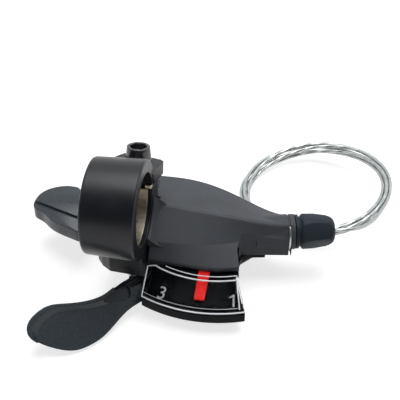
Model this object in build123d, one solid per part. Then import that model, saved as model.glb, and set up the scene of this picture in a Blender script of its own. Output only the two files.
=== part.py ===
from build123d import *
import math
import os

os.makedirs("parts", exist_ok=True)

# Frame: the handlebar's centre line is the X axis, +X toward the middle of the bicycle,
# +Y forward (away from the rider), +Z up. All lengths are millimetres, all angles degrees.

# Handlebar clamp
bar_radius = 11.1
ring_radius = 15.0
ring_width = 16.0
ring_left_radius = 14.4
ring_edge = 0.7
liner_width = 13.0
liner_thickness = 1.2
liner_start = -5.0
slit_angle = 5.0
liner_end = -150.0
ear_left = -3.7
ear_right = 9.6
ear_reach = 5.1
ear_edge = 0.9
ear_rise = 1.4
ear_fall = 2.0
ear_upper = 4.6
ear_lower = 8.0
slit_width = 1.5
bolt_out = 5.6
bolt_x = 2.7
bolt_y = bar_radius + bolt_out
bolt_z = 4.5
bolt_lean = 13.0
bolt_radius = 2.5
bolt_head_radius = 4.15
bolt_rim_radius = 3.5
bolt_head_height = 5.4
bolt_socket = 5.0
bolt_length = 12.6
nut_width = 8.0
nut_depth = 5.6
nut_height = 3.2

# Heights of the mechanism, from the bottom up
cover_bottom = -27.0
cover_floor = -25.5
arm_bottom = -24.7
arm_top = -23.1
pawl_bottom = -22.9
pawl_top = -21.4
plate_bottom = -21.0
plate_top = -19.5
parting = -20.6
ratchet_bottom = -18.2
ratchet_top = -16.9
flange_bottom = -15.2
spool_top = -14.4
pointer_bottom = -14.1
pointer_top = -13.5
cable_height = 0.5 * (ratchet_top + flange_bottom)

# Main axle, spool and dial
axle_x = 26.0
axle_y = 18.0
axle_radius = 3.0
running_gap = 0.06
pointer_offset = 6.0
drive_pin_reach = 9.0
drive_pin_radius = 0.8
gear_step = 30.0
cable_radius = 0.6
wrap_radius = 9.0
flange_radius = 10.2
ratchet_radius = 10.8
nipple_angle = 215.0
nipple_radius = 2.2
wrap_end_angle = 257.0

# Window and dial, measured from the pointer's pivot
window_inner = 28.4
window_outer = 39.4
window_top = -19.0
window_slope = 4.3 / 11.0
window_left = 8.5
window_right_angle = 290.4
lens_thickness = 1.2
tray_depth = 4.1
tray_bottom = window_top - window_slope * (window_outer - window_inner) - tray_depth
tray_wall = 1.3
pointer_tip = 36.2
pointer_width = 3.6

# Pod walls
wall = 1.4
pod_left = 8.3
pod_corner = 6.1
base_left = 8.9
end_radius = 1.3
ridge_radius = 1.3

# Thumb lever
thumb_stroke = 30.0
arm_hub_radius = 6.4
paddle_thickness = 3.2
paddle_taper = 1.3
paddle_rim = 1.3
pocket_depth = 2.2

# Pawls and release lever
drive_pitch = 15.0
drive_tab_angle = 245.0
drive_pin_angle = 221.0
drive_pin_distance = 17.0
hold_angle = 120.0
hold_pivot_x = 12.4
hold_pivot_y = 27.6
pawl_drop = 12.0
pawl_pin_radius = 1.1
release_x = 3.2
release_y = 25.0
release_pin_radius = 1.6
release_top = -14.5
release_bottom = -19.8
release_edge = 1.2
release_step = 1.5

# Barrel adjuster and inner wire
neck_end_x = 51.0
neck_end_y = 16.55
neck_yaw = 12.0
neck_radius = 5.5
neck_length = 12.0
stem_radius = 3.4
stem_length = 7.0
knob_start = 1.7
knob_base = 5.5
knob_tip = 4.1
knob_flat = 0.25
knob_length = 10.8
stop_radius = 2.2
lead_start = 13.0
coil_x = 56.2
coil_y = 52.8
coil_radius = 24.6
coil_tilt = 9.0
coil_width = 3.8
coil_height = 3.4
floor_height = -31.7


def polar(centre_x, centre_y, radius, angle):
    turn = math.radians(angle)
    return (centre_x + radius * math.cos(turn), centre_y + radius * math.sin(turn))


def prism(points, bottom, top):
    outline = Plane.XY.offset(bottom) * make_face(Polyline(*points, close=True))
    return extrude(outline, amount=top - bottom)


def rod(x, y, bottom, top, radius):
    return Pos(x, y, 0.5 * (bottom + top)) * Cylinder(radius, top - bottom)


def tube(x, y, bottom, top, outer, inner):
    return rod(x, y, bottom, top, outer) - rod(x, y, bottom - 1, top + 1, inner)


def block(x0, x1, y0, y1, z0, z1):
    centre = Pos(0.5 * (x0 + x1), 0.5 * (y0 + y1), 0.5 * (z0 + z1))
    return centre * Box(x1 - x0, y1 - y0, z1 - z0)


def bar_sector(inner, outer, width, start, end):
    """Part of a ring round the handlebar; angles run from +Y toward +Z."""
    section = Plane.XY * make_face(Polyline(
        (-width / 2, inner), (width / 2, inner), (width / 2, outer), (-width / 2, outer), close=True))
    turned = Rot(X=start) * section
    return revolve(turned, Axis.X, revolution_arc=end - start)


def dial_sector(profile, start, end):
    """Solid turned about the pointer's pivot from a (radius, height) outline."""
    turn = math.radians(start)
    plane = Plane(origin=(axle_x, axle_y + pointer_offset, 0),
                  x_dir=(math.cos(turn), math.sin(turn), 0),
                  z_dir=(math.sin(turn), -math.cos(turn), 0))
    face = plane * make_face(Polyline(*profile, close=True))
    pivot = Axis((axle_x, axle_y + pointer_offset, 0), (0, 0, 1))
    return revolve(face, pivot, revolution_arc=end - start)


def lens_height(radius):
    return window_top - window_slope * (radius - window_inner)


def neck_plane(distance):
    """Plane across the adjuster's axis, a distance out from the neck's end."""
    turn = math.radians(neck_yaw)
    origin = (neck_end_x + distance * math.cos(turn), neck_end_y + distance * math.sin(turn), cable_height)
    return Plane(origin=origin, x_dir=(-math.sin(turn), math.cos(turn), 0),
                 z_dir=(math.cos(turn), math.sin(turn), 0))


def neck_rod(start, end, radius):
    return extrude(neck_plane(start) * Circle(radius), amount=end - start)


def bolt_plane(height):
    """Plane across the clamp bolt, a height above the seat of its head."""
    lean = math.radians(bolt_lean)
    direction = (0, math.sin(lean), math.cos(lean))
    origin = (bolt_x, bolt_y + height * direction[1], bolt_z + height * direction[2])
    return Plane(origin=origin, x_dir=(1, 0, 0), z_dir=direction)


def save(name, shape):
    export_step(shape, f"parts/{name}.step")
    box = shape.bounding_box()
    print(f"{name}: volume {shape.volume:.1f}, solids {len(shape.solids())}, "
          f"x {box.min.X:.1f}..{box.max.X:.1f}, y {box.min.Y:.1f}..{box.max.Y:.1f}, "
          f"z {box.min.Z:.1f}..{box.max.Z:.1f}")


def ear(outline, top, bottom):
    """Clamp ear between two heights along the bolt, from (x, distance behind the bolt) points."""
    face = make_face(Polyline(*[(x - bolt_x, back) for x, back in outline], close=True))
    return extrude(bolt_plane(top) * face, amount=bottom - top)


def make_clamp_band():
    half = ring_width / 2
    left = ring_left_radius
    right = ring_radius
    profile = [(-half, 0), (-half, left - ring_edge), (0.3 * ring_edge - half, left - 0.3 * ring_edge),
               (ring_edge - half, left), (half - ring_edge, right),
               (half - 0.3 * ring_edge, right - 0.3 * ring_edge), (half, right - ring_edge), (half, 0)]
    ring = revolve(make_face(Polyline(*profile, close=True)), Axis.X)
    upper = ear([(-half, -6.0), (ear_left - 3.0, -4.6), (ear_left + 1.3, 3.6), (ear_left + 2.8, 4.9),
                 (ear_right - ear_edge, ear_reach), (ear_right, ear_reach - ear_edge), (half, -6.0)],
                ear_rise, -ear_upper)
    fall = math.degrees(math.atan2(ear_fall, ear_right - ear_left))
    above = Pos(10, 0, 5) * Box(40, 30, 10)
    upper -= bolt_plane(ear_rise) * Pos(ear_left - bolt_x, 0) * Rot(Y=fall) * above
    lower = ear([(ear_left, -6.0), (ear_left, ear_reach - ear_edge), (ear_left + ear_edge, ear_reach),
                 (half - ear_edge, ear_reach), (half, ear_reach - ear_edge), (half, -6.0)],
                -ear_upper - slit_width, -ear_upper - slit_width - ear_lower)
    band = ring + upper + lower + prism(foot_outline, plate_top, -9.0)
    band -= Rot(Y=90) * Cylinder(bar_radius, 60)
    band -= Pos(half + 10, 0, 0) * Rot(Y=90) * Cylinder(bar_radius + 1.2, 20)
    band -= bar_sector(bar_radius - 1, bar_radius + liner_thickness + 0.05, liner_width + 0.1,
                       slit_angle, liner_end - 0.6)
    slit = bolt_plane(-ear_upper - slit_width / 2)
    band -= extrude(slit * Pos(0, 1) * Rectangle(40, 14), amount=slit_width / 2, both=True)
    band -= extrude(bolt_plane(0.5) * Circle(bolt_radius + 0.02), amount=-(bolt_length + 2))
    nut_top = -(ear_upper + slit_width + 2.6)
    band -= extrude(bolt_plane(nut_top) * Pos(0, 6) * Rectangle(nut_width + 0.04, nut_depth + 12.04),
                    amount=-nut_height)
    band -= extrude(bolt_plane(0) * Circle(bolt_head_radius + 0.15), amount=9)
    for x, y in foot_screws():
        band -= rod(x, y, plate_top - 1, plate_top + 5.5, 1.25)
    return band


foot_outline = [(-7.2, -0.4), (-5.2, -3.0), (-2.4, -5.0), (7.9, -5.8), (7.9, 10.5), (-7.2, 10.5)]


def foot_screws():
    return [(-2.6, 6.0), (4.4, -2.6)]


def make_liner():
    return bar_sector(bar_radius, bar_radius + liner_thickness, liner_width, liner_start, liner_end)


def make_clamp_bolt():
    head = loft([bolt_plane(0) * Circle(bolt_head_radius),
                 bolt_plane(bolt_head_height) * Circle(bolt_rim_radius)])
    shank = extrude(bolt_plane(0) * Circle(bolt_radius), amount=-bolt_length)
    socket = extrude(bolt_plane(bolt_head_height) * RegularPolygon(bolt_socket / math.sqrt(3), 6),
                     amount=-0.72 * bolt_head_height)
    return head + shank - socket


def make_clamp_nut():
    top = -(ear_upper + slit_width + 2.6)
    nut = extrude(bolt_plane(top) * Rectangle(nut_width, nut_depth), amount=-nut_height)
    return nut - extrude(bolt_plane(top + 1) * Circle(bolt_radius + 0.01), amount=-(nut_height + 2))


pod_sections = [
    (5.0, [(33.6, 0), (33.0, -11.8), (13.4, -7.3), (1.6, -14.0), (-1.2, -18.2), (-1.0, 0)]),
    (17.0, [(33.4, 0), (32.8, -12.0), (11.8, -7.4), (2.7, -14.0), (-1.2, -18.3), (-1.0, 0)]),
    (27.0, [(30.9, 0), (30.2, -12.6), (11.0, -7.6), (3.9, -14.0), (-2.2, -18.3), (-2.0, 0)]),
    (37.0, [(26.2, 0), (25.3, -13.2), (10.9, -8.5), (7.2, -13.6), (-0.4, -18.3), (-0.2, 0)]),
    (51.5, [(23.2, 0), (20.6, -12.6), (14.2, -11.0), (11.6, -13.4), (9.2, -18.3), (9.4, 0)]),
]

pod_outline = [(pod_corner, 34.5), (pod_left, 17.5), (pod_left, -0.5), (9.2, -1.4), (16.0, -1.7),
               (23.0, -2.2), (30.0, -2.0), (36.2, -0.3), (34.8, 5.0), (35.8, 8.0), (38.7, 8.7),
               (51.0, 10.5), (51.0, 22.2), (44.0, 22.6), (34.5, 28.4), (26.0, 32.2), (16.0, 34.2)]

pod_end = [(pod_left, -2.3, -19.7), (pod_left, 1.9, -14.0), (pod_left, 13.0, -7.3), (pod_left, 17.5, -8.5)]


def inset(points, distance):
    """Moves every side of a polygon inward by a distance."""
    count = len(points)
    area = sum(points[i][0] * points[(i + 1) % count][1] - points[(i + 1) % count][0] * points[i][1]
               for i in range(count))
    side = 1.0 if area > 0 else -1.0
    lines = []
    for i in range(count):
        ax, ay = points[i]
        bx, by = points[(i + 1) % count]
        length = math.hypot(bx - ax, by - ay)
        nx, ny = -side * (by - ay) / length, side * (bx - ax) / length
        lines.append((ax + nx * distance, ay + ny * distance, bx - ax, by - ay))
    moved = []
    for i in range(count):
        px, py, ux, uy = lines[i - 1]
        qx, qy, vx, vy = lines[i]
        cross = ux * vy - uy * vx
        along = ((qx - px) * vy - (qy - py) * vx) / cross
        moved.append((px + ux * along, py + uy * along))
    return moved


def pod_body(shrink, bottom):
    """The faceted pod as one solid, its walls drawn in by shrink, from bottom upward."""
    sections = []
    for x, points in pod_sections:
        corners = [(y, z if z < 0 else bottom) for y, z in points]
        if shrink:
            corners = inset(corners, shrink)
            corners = [(y, bottom if i in (0, 5) else z) for i, (y, z) in enumerate(corners)]
        plane = Plane(origin=(x, 0, 0), x_dir=(0, 1, 0), z_dir=(1, 0, 0))
        face = make_face(Polyline(*corners, close=True))
        if shrink == 0:
            face = fillet(face.vertices().sort_by(Axis.Y)[2:], ridge_radius)
        sections.append(plane * face)
    body = loft(sections)
    outline = inset(pod_outline, shrink) if shrink else pod_outline
    return body & prism(outline, bottom, 0)


pod_inner_end = 42.6
boss_screw = (39.4, 19.6)
bottom_bosses = [(31.5, 25.4), (31.6, 3.4)]
screw_radius = 1.2
boss_radius = 2.3

shelf_bottom = -22.2
shelf_outline = [(base_left, 32.2), (base_left, -1.4), (16.0, -1.7), (23.0, -2.2), (30.0, -2.0),
                 (36.2, -0.3), (35.6, 3.0), (36.2, 7.4), (38.7, 9.2), (43.0, 10.0), (43.0, 22.4),
                 (34.5, 27.6), (26.0, 30.8), (16.0, 32.0)]
base_outline = [(base_left, 32.2), (base_left, 1.7), (16.0, -1.1), (23.0, -2.2), (30.0, -2.0), (34.6, -0.9),
                (34.0, 4.0), (34.6, 9.0), (38.6, 13.6), (43.0, 16.6), (43.0, 22.4), (34.5, 27.6),
                (26.0, 30.8), (16.0, 32.0)]

plate_outline = [(-7.1, -0.3), (-5.1, -2.9), (-2.3, -4.9), (8.2, -5.7), (8.2, 3.2), (13.0, 2.4), (28.6, 2.4),
                 (29.2, 6.2), (32.4, 9.4), (36.4, 14.8), (41.0, 18.0), (41.0, 20.6), (33.5, 25.4),
                 (25.0, 28.4), (11.0, 29.6), (6.0, 29.4), (-1.2, 28.0), (-1.2, 21.8), (-7.1, 10.4)]

release_back = [(-32.6, 16.8), (-31.4, 22.0), (-28.3, 25.0), (-25.0, 26.4), (-21.2, 26.5)]
release_front = [(-15.0, 5.2), (-25.7, 10.2), (-29.1, 13.0)]


def pointer_line(lift):
    """Top of the pointer as (radius, height) points, raised by lift."""
    points = [(0.0, pointer_top), (16.6, pointer_top), (20.2, -16.1)]
    for radius in (26.3, pointer_tip):
        points.append((radius, lens_height(radius) - lens_thickness - 0.5))
    return [(radius, height + lift) for radius, height in points]


def rounding(start, end):
    """Cutter that rounds an edge of the pod's left end, listed from front to back."""
    first, last = Vector(*start), Vector(*end)
    along = (last - first).normalized()
    inward = Vector(along.Y, -along.X, 0).normalized()
    radius = end_radius
    middle = radius * (1 - math.sqrt(0.5))
    corner = Polyline((0, radius), (-1, radius), (-1, -1), (radius, -1), (radius, 0))
    face = make_face(corner + ThreePointArc((radius, 0), (middle, middle), (0, radius)))
    return extrude(Plane(origin=first, x_dir=inward, z_dir=along) * face, amount=(last - first).length)


def make_top_cover():
    shell = pod_body(0, parting)
    for start, end in zip(pod_end, pod_end[1:]):
        shell -= rounding(start, end)
    shell += neck_rod(-neck_length, 0, neck_radius)
    hollow = pod_body(wall, parting - 1) & block(0, pod_inner_end, -20, 60, parting - 2, 0)
    cover = shell - hollow
    x, y = boss_screw
    cover += rod(x, y, parting, -14.0, boss_radius)
    cover += rod(axle_x, axle_y + pointer_offset, pointer_top + 0.25, -11.6, 2.2)
    cover -= Rot(Y=90) * Cylinder(bar_radius + 0.7, 80)
    cover -= rod(x, y, parting - 1, -15.2, screw_radius + 0.02)
    cover -= rod(axle_x, axle_y + pointer_offset, pointer_top - 1, -11.9, 1.02)
    sweep = pointer_line(0.45)[1:]
    sweep[-1] = (31.0, lens_height(31.0) - lens_thickness - 0.05)
    cover -= dial_sector(sweep + [(31.0, -26.0), (16.6, -26.0)], 242.0, 298.0)
    cover -= rod(axle_x, axle_y, ratchet_bottom - 0.6, spool_top + 0.5, ratchet_radius + 0.4)
    opening = pod_left + wall + 0.9
    cover -= block(pod_corner - 2, opening, 1.5, 29.9, parting - 1, plate_top + 0.02)
    cover -= block(pod_corner - 2, opening, 18.0, 28.2, parting - 1, ratchet_top + 0.5)
    cover -= rod(release_x, release_y, parting - 1, ratchet_top + 1.3, 4.0)
    cover -= neck_rod(-stem_length - 0.5, 1, stem_radius + running_gap)
    cover -= neck_rod(-neck_length - 6, 0, 1.5)
    cover -= neck_groove()
    cover -= neck_rod(0, 4, 2.5 * neck_radius)
    return cover


def neck_groove():
    return neck_rod(-2.1, -1.5, neck_radius + 3) - neck_rod(-2.4, -1.2, neck_radius - 0.35)


def make_adjuster_clip():
    ring = neck_rod(-2.05, -1.55, neck_radius + 0.45) - neck_rod(-2.4, -1.2, neck_radius - 0.33)
    gap = extrude(neck_plane(-2.6) * Rot(Z=35) * Pos(10, 0) * Rectangle(20, 40), amount=2)
    return ring - gap


def make_base_housing():
    outer = prism(base_outline, cover_floor, parting)
    inner = prism(inset(base_outline, wall), cover_floor - 1, parting + 1)
    ledge = inner - prism(inset(base_outline, wall + 1.2), cover_floor - 2, parting + 2)
    ledge = ledge & (block(28, 60, 8, 60, plate_bottom - 1.3, plate_bottom)
                     + block(14, 60, 24, 60, plate_bottom - 1.3, plate_bottom))
    shelf = prism(shelf_outline, shelf_bottom, parting) - inner
    housing = outer - inner + ledge + shelf
    for x, y in bottom_bosses:
        housing += rod(x, y, cover_floor, plate_bottom - 0.05, boss_radius)
    housing -= block(base_left - 2, base_left + wall + 0.4, 0.0, 30.4, cover_floor - 1, parting + 1)
    x, y = boss_screw
    housing += rod(x, y, cover_floor, plate_bottom, boss_radius)
    start, end = 222.0, window_right_angle
    floor_top = tray_bottom + 0.6
    inner, joint = 25.8, 27.3
    wall_top = pawl_top - 1.0
    rim = lens_height(window_outer) - lens_thickness
    tray = dial_sector([(inner, tray_bottom), (window_outer, tray_bottom), (window_outer, rim),
                        (inner, lens_height(inner) - lens_thickness)], start, end)
    hollow = dial_sector([(joint, floor_top), (window_outer - tray_wall, floor_top),
                          (window_outer - tray_wall, -10.0), (20.0, -10.0), (20.0, wall_top),
                          (joint, wall_top)], start, end - 2.2)
    hollow = hollow & block(window_left + tray_wall, 60, -60, 60, -40, 0)
    tray = (tray & block(window_left, 60, -60, 60, -40, 0)) - hollow
    tray -= prism(pod_outline, parting, -10) + prism(base_outline, tray_bottom - 1, cover_floor)
    tray -= block(0, base_left + wall + 0.6, 2.0, 12, -40, 0)
    tray -= block(0, 13.0, 0.4, 12, cover_floor, arm_top + 0.4)
    clear = dial_sector(pointer_line(-1.0)[1:] + [(pointer_tip, -15.0), (16.6, -10.0)], 240.0, 300.0)
    housing = housing + tray - clear - neck_rod(-neck_length - 1, 0, neck_radius + 0.02)
    for x, y in bottom_bosses + [boss_screw]:
        housing -= rod(x, y, cover_floor - 1, plate_bottom + 1, screw_radius + 0.02)
    return housing


def make_base_plate():
    plate = prism(plate_outline, plate_bottom, plate_top)
    plate -= rod(axle_x, axle_y, -40, 0, axle_radius)
    plate -= rod(hold_pivot_x, hold_pivot_y, -40, 0, pawl_pin_radius)
    plate -= rod(release_x, release_y, -40, 0, release_pin_radius)
    x, y = boss_screw
    plate -= rod(x, y, -40, 0, boss_radius + 0.15)
    for x, y in foot_screws():
        plate -= rod(x, y, -40, 0, 1.3)
    slot_start = drive_tab_angle - thumb_stroke - 9
    slot_end = drive_tab_angle + 9
    ring = tube(axle_x, axle_y, plate_bottom - 1, plate_top + 1, 14.2, 8.4)
    wedge = [(axle_x, axle_y)]
    for i in range(9):
        wedge.append(polar(axle_x, axle_y, 30, slot_start + (slot_end - slot_start) * i / 8))
    plate -= ring & prism(wedge, plate_bottom - 2, plate_top + 2)
    return plate


def make_foot_screws():
    screws = []
    for x, y in foot_screws():
        head = rod(x, y, plate_bottom - 1.3, plate_bottom, 2.3)
        screws.append(head + rod(x, y, plate_bottom, plate_top + 5, 1.25))
    return Compound(children=screws)


def make_bottom_cover():
    cover = prism(base_outline, cover_bottom, cover_floor)
    cover = chamfer(cover.faces().sort_by(Axis.Z)[0].edges(), 0.6)
    for x, y in bottom_bosses + [boss_screw]:
        cover -= rod(x, y, cover_bottom - 1, cover_floor + 1, screw_radius + 0.02)
        cover -= rod(x, y, cover_bottom - 1, cover_bottom + 0.8, 2.35)
    return cover


def make_bottom_screws():
    screws = []
    for x, y in bottom_bosses:
        head = rod(x, y, cover_bottom, cover_bottom + 0.8, 2.3)
        screws.append(head + rod(x, y, cover_bottom + 0.8, plate_bottom - 0.6, screw_radius))
    return Compound(children=screws)


def make_cover_screw():
    x, y = boss_screw
    head = rod(x, y, cover_bottom, cover_bottom + 0.8, 2.3)
    return head + rod(x, y, cover_bottom + 0.8, -15.4, screw_radius)


def make_dial_plate():
    def top(radius):
        return lens_height(radius) - lens_thickness - 1.5

    inner, outer = 27.4, window_outer - tray_wall - 0.1
    profile = [(inner, top(inner) - 0.7), (outer, top(outer) - 0.7), (outer, top(outer)),
               (inner, top(inner))]
    dial = dial_sector(profile, 222.0, window_right_angle - 2.4)
    dial = dial & block(window_left + tray_wall + 0.05, 60, -60, 60, -40, 0)
    return dial - prism(pod_outline, -30, -10)


def make_window_lens():
    inner, outer, bevel = window_inner, window_outer, 1.2
    drop = 0.9
    profile = [(inner, lens_height(inner) - lens_thickness), (inner, lens_height(inner) - drop),
               (inner + bevel, lens_height(inner + bevel)), (outer - bevel, lens_height(outer - bevel)),
               (outer, lens_height(outer) - 0.5), (outer, lens_height(outer) - lens_thickness)]
    lens = dial_sector(profile, 222.0, window_right_angle)
    lens = lens & block(window_left, 60, -60, 60, -40, 0)
    return lens - prism(inset(pod_outline, -running_gap), -30, -10)


def make_pointer():
    pivot_y = axle_y + pointer_offset
    top = pointer_line(0)
    profile = [(pivot_y - r, z) for r, z in top] + [(pivot_y - r, z - 0.6) for r, z in reversed(top)]
    side = Plane(origin=(axle_x, 0, 0), x_dir=(0, 1, 0), z_dir=(1, 0, 0))
    strip = extrude(side * make_face(Polyline(*profile, close=True)), amount=pointer_width / 2, both=True)
    rounded = Pos(axle_x, pivot_y - pointer_tip / 2, -18) * Box(pointer_width, pointer_tip, 30)
    rounded = fillet(rounded.edges().filter_by(Axis.Z).sort_by(Axis.Y)[:2], 0.9)
    pointer = (strip & rounded) + rod(axle_x, pivot_y, pointer_bottom, pointer_top, 2.6)
    pointer -= rod(axle_x, pivot_y, -30, 0, 1.0 + running_gap)
    reach = drive_pin_reach + pointer_offset
    shortest = reach - 0.6
    half = drive_pin_radius + 0.12
    slot = block(axle_x - half, axle_x + half, pivot_y - reach, pivot_y - shortest, -20, 0)
    slot += rod(axle_x, pivot_y - reach, -20, 0, half) + rod(axle_x, pivot_y - shortest, -20, 0, half)
    return pointer - slot


def make_pointer_post():
    return rod(axle_x, axle_y + pointer_offset, pointer_bottom - 0.05, -11.9, 1.0)


def make_main_axle():
    axle = rod(axle_x, axle_y, cover_floor + 0.1, spool_top - 0.2, axle_radius)
    for low, high in ((-25.2, -24.8), (-15.3, -14.9)):
        axle -= tube(axle_x, axle_y, low, high, axle_radius + 1, axle_radius - 0.5)
    return axle


def retaining_clip(low, high, outer):
    clip = tube(axle_x, axle_y, low, high, outer, axle_radius - 0.48)
    return clip - block(axle_x, axle_x + 9, axle_y - 1.6, axle_y + 1.6, low - 1, high + 1)


def make_spool():
    spool = rod(axle_x, axle_y, ratchet_top, flange_bottom, wrap_radius - cable_radius)
    spool += rod(axle_x, axle_y, flange_bottom, spool_top, flange_radius)
    x, y = polar(axle_x, axle_y, wrap_radius - 0.6, nipple_angle)
    spool -= rod(axle_x, axle_y, -40, 0, axle_radius + running_gap)
    spool -= rod(axle_x, axle_y, -15.8, 0, 5.2)
    spool -= rod(x, y, ratchet_top - 1, flange_bottom + 0.02, nipple_radius + 0.02)
    pin_x, pin_y = polar(axle_x, axle_y, drive_pin_reach, 270)
    return spool - rod(pin_x, pin_y, ratchet_top - 1, 0, drive_pin_radius)


def make_drive_pin():
    x, y = polar(axle_x, axle_y, drive_pin_reach, 270)
    return rod(x, y, flange_bottom, pointer_top + 0.05, drive_pin_radius)


def make_cable_nipple():
    x, y = polar(axle_x, axle_y, wrap_radius - 0.6, nipple_angle)
    return rod(x, y, ratchet_top, flange_bottom, nipple_radius)


def make_cable_wrap():
    start = nipple_angle + 15.5
    x, y = polar(axle_x, axle_y, wrap_radius, start)
    turn = math.radians(start)
    plane = Plane(origin=(x, y, cable_height), x_dir=(math.cos(turn), math.sin(turn), 0),
                  z_dir=(-math.sin(turn), math.cos(turn), 0))
    axis = Axis((axle_x, axle_y, 0), (0, 0, 1))
    return revolve(plane * Circle(cable_radius), axis, revolution_arc=wrap_end_angle - start)


def hold_nose(grow):
    """Plan of the hold pawl's nose at rest, clear of the ratchet."""
    tip_x, tip_y = polar(axle_x, axle_y, ratchet_radius + 0.45, hold_angle)
    return [(tip_x + 0.2 + grow, tip_y - grow), (tip_x + 0.5 + grow, tip_y + 1.9 + grow),
            (tip_x - 1.6 - grow, tip_y + 1.9 + grow), (tip_x - 1.4 - grow, tip_y - grow)]


def make_hold_pawl():
    nose = hold_nose(0)
    body = prism([nose[3], nose[0], nose[1], (hold_pivot_x + 0.4, hold_pivot_y + 1.9),
                  (hold_pivot_x + 0.4, hold_pivot_y - 1.4)], ratchet_bottom, ratchet_top)
    body += rod(hold_pivot_x, hold_pivot_y, ratchet_bottom, ratchet_top, 1.9)
    return body - rod(hold_pivot_x, hold_pivot_y, -30, 0, pawl_pin_radius + running_gap)


def drive_pivot():
    return polar(axle_x, axle_y, drive_pin_distance, drive_pin_angle)


def drive_tab(grow):
    """Plan of the drive pawl's tab at rest, clear of the ratchet."""
    x, y = polar(axle_x, axle_y, ratchet_radius + 0.45, drive_tab_angle)
    return [(x - 0.7 - grow, y + 0.1 + grow), (x + 0.9 + grow, y - 0.1 + grow),
            (x + 1.2 + grow, y - 1.9 - grow), (x - 1.0 - grow, y - 1.9 - grow)]


def make_drive_pawl():
    x, y = drive_pivot()
    tab = drive_tab(0)
    arm = prism([(x - 0.2, y + 1.9), tab[0], tab[1], tab[2], (x + 0.2, y - 1.9)], pawl_bottom, pawl_top)
    arm += rod(x, y, pawl_bottom, pawl_top, 2.0)
    arm += prism(tab, pawl_bottom, ratchet_top)
    return arm - rod(x, y, -30, 0, pawl_pin_radius + running_gap)


def turned(points, centre_x, centre_y, angle):
    turn = math.radians(angle)
    moved = []
    for x, y in points:
        dx, dy = x - centre_x, y - centre_y
        moved.append((centre_x + dx * math.cos(turn) - dy * math.sin(turn),
                      centre_y + dx * math.sin(turn) + dy * math.cos(turn)))
    return moved


def make_index_ratchet():
    ratchet = rod(axle_x, axle_y, ratchet_bottom, ratchet_top, ratchet_radius)
    ratchet -= rod(axle_x, axle_y, -40, 0, axle_radius + running_gap)
    pawl_x, pawl_y = drive_pivot()
    notches = []
    for step in (-gear_step, 0, gear_step):
        for drop in (-0.4, -0.7, -1.0):
            nose = turned(hold_nose(0.35), hold_pivot_x, hold_pivot_y, drop * pawl_drop)
            notches.append(turned(nose, axle_x, axle_y, step))
    for tooth in range(-4, 3):
        for drop in (0.4, 0.7, 1.0):
            tab = turned(drive_tab(0.35), pawl_x, pawl_y, drop * pawl_drop)
            notches.append(turned(tab, axle_x, axle_y, tooth * drive_pitch))
    for notch in notches:
        ratchet -= prism(notch, ratchet_bottom - 1, ratchet_top + 1)
    return ratchet


def make_spool_spacer():
    return tube(axle_x, axle_y, plate_top, ratchet_bottom, 4.2, axle_radius + running_gap)


def spiral_spring():
    points = []
    turns, inner, outer = 2.5, 4.9, 7.4
    count = 40
    for i in range(count + 1):
        points.append(polar(axle_x, axle_y, inner + (outer - inner) * i / count, 360 * turns * i / count))
    back = [polar(axle_x, axle_y, inner + 0.35 + (outer - inner) * i / count, 360 * turns * i / count)
            for i in range(count, -1, -1)]
    return prism(points + back, plate_top, ratchet_bottom - 0.35)


arm_outline = [(22.9, 21.4), (5.6, 6.4), (3.4, 1.0), (3.2, -5.0), (3.9, -6.8), (4.9, -7.3), (7.6, -4.7),
               (7.9, 1.0), (28.9, 14.6)]


def make_thumb_arm():
    arm = prism(arm_outline, arm_bottom, arm_top) + rod(axle_x, axle_y, arm_bottom, arm_top, arm_hub_radius)
    arm += block(9.4, 10.2, 2.6, 3.9, arm_top, pawl_top - 0.2)
    arm -= rod(axle_x, axle_y, -40, 0, axle_radius + running_gap)
    x, y = drive_pivot()
    return arm - rod(x, y, -40, 0, pawl_pin_radius)


paddle_plan = [(-27.0, 5.6), (-20.0, 5.8), (-13.0, 4.3), (-8.8, 4.6), (-1.1, 7.0), (2.8, 8.2), (7.1, 7.8),
               (11.3, 5.2), (11.9, 3.0), (10.3, -0.3), (6.5, -4.1), (1.0, -7.3), (-3.0, -7.8), (-7.7, -7.4),
               (-13.0, -5.6), (-21.3, -3.1), (-27.0, -1.6)]
pocket_plan = [(-21.8, 3.6), (-17.0, 3.8), (-12.6, 2.6), (-16.0, 0.8), (-21.4, 1.0)]


def paddle_plane():
    along = (-0.711, -0.703, 0.0)
    tilt = math.radians(40)
    up = (-0.703 * math.cos(tilt), 0.711 * math.cos(tilt), math.sin(tilt))
    normal = Vector(*along).cross(Vector(*up))
    return Plane(origin=(-9.41, -25.53, -25.0), x_dir=along, z_dir=normal)


def make_thumb_paddle():
    plane = paddle_plane()

    def outline(points, depth):
        return plane.offset(depth) * make_face(Spline(*points, periodic=True))

    body = loft([outline(paddle_plan, 0), outline(inset(paddle_plan, paddle_taper), paddle_thickness)])
    edge = [(u - 0.9, w - 1.3) for u, w in paddle_plan]
    floor = [(u - 2.2, w - 3.0) for u, w in paddle_plan]
    body -= loft([outline(edge, -0.01), outline(floor, paddle_rim)])
    body -= extrude(outline(pocket_plan, -1), amount=1 + pocket_depth)
    body -= rod(axle_x, axle_y, pawl_bottom + 0.2, 0, 38.8)
    body -= block(window_left - 0.15, 60, -60, 60, -60, 0)
    return body - make_thumb_arm()


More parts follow.
